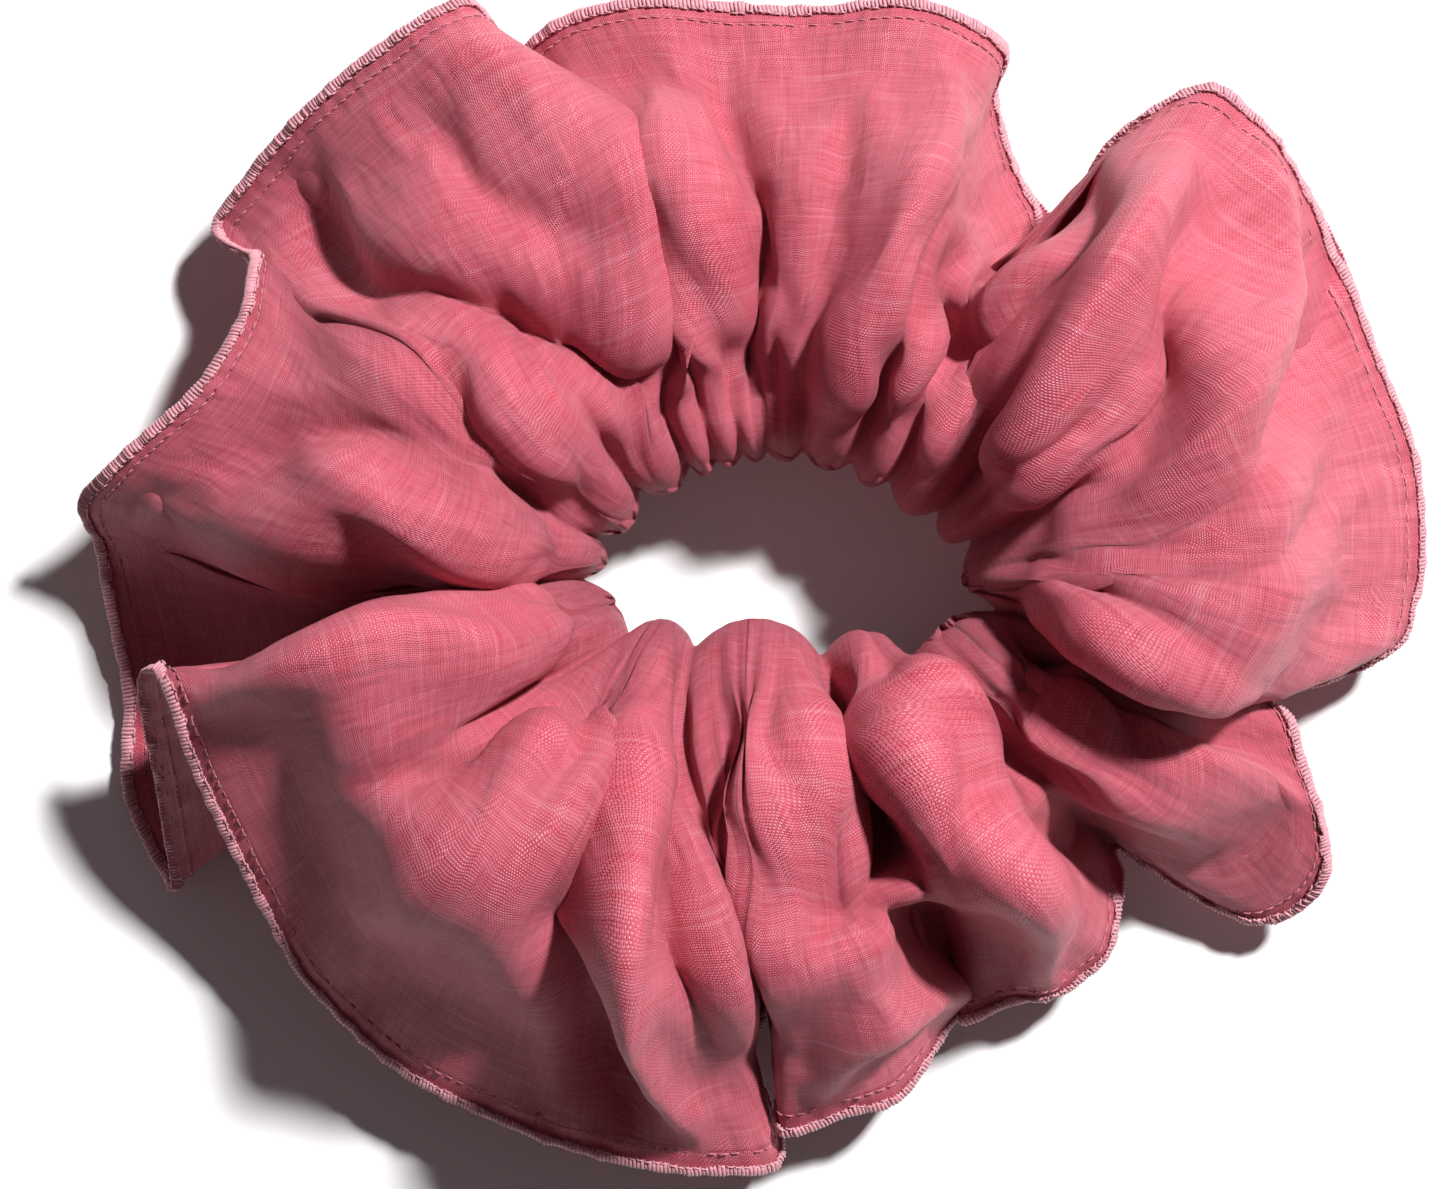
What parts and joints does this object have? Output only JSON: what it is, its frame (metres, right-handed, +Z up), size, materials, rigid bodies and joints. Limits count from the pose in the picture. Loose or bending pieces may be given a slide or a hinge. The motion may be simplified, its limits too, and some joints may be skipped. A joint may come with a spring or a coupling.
{
  "type": "scrunchie",
  "caption": "Oversized gathered fabric scrunchie with a ruffled overlocked outer edge and a hidden elastic, lying flat; its loop stretches open.",
  "frame": {"origin": "centre of the footprint, on the surface that the scrunchie lies on", "axes": "+Z up through the hair opening, +X along the longest side, towards the half that is pulled"},
  "size_m": [0.1772, 0.1548, 0.046],
  "materials": {
    "cover_fabric": "plain-weave slub cotton with a soft sheen",
    "overlock_thread": "matt overlock thread",
    "seam_thread": "matt sewing thread",
    "elastic_braid": "white braided elastic"
  },
  "bodies": {
    "held_side": {"cover_held_side": "cover_fabric", "elastic_held_side": "elastic_braid", "overlock_upper_looper_held_side": "overlock_thread", "overlock_lower_looper_held_side": "overlock_thread", "overlock_needle_thread_held_side": "overlock_thread", "edge_stitch_needle_thread_held_side": "seam_thread", "edge_stitch_bobbin_thread_held_side": "seam_thread", "elastic_join_thread": "seam_thread", "closing_seam_thread": "seam_thread"},
    "pulled_side": {"cover_pulled_side": "cover_fabric", "elastic_pulled_side": "elastic_braid", "overlock_upper_looper_pulled_side": "overlock_thread", "overlock_lower_looper_pulled_side": "overlock_thread", "overlock_needle_thread_pulled_side": "overlock_thread", "edge_stitch_needle_thread_pulled_side": "seam_thread", "edge_stitch_bobbin_thread_pulled_side": "seam_thread"}
  },
  "joints": [
    {"name": "stretch", "type": "slide", "parent": "held_side", "child": "pulled_side", "axis": [1, 0, 0], "range_m": [0, 0.07], "stiffness_N_per_m": 40}
  ]
}
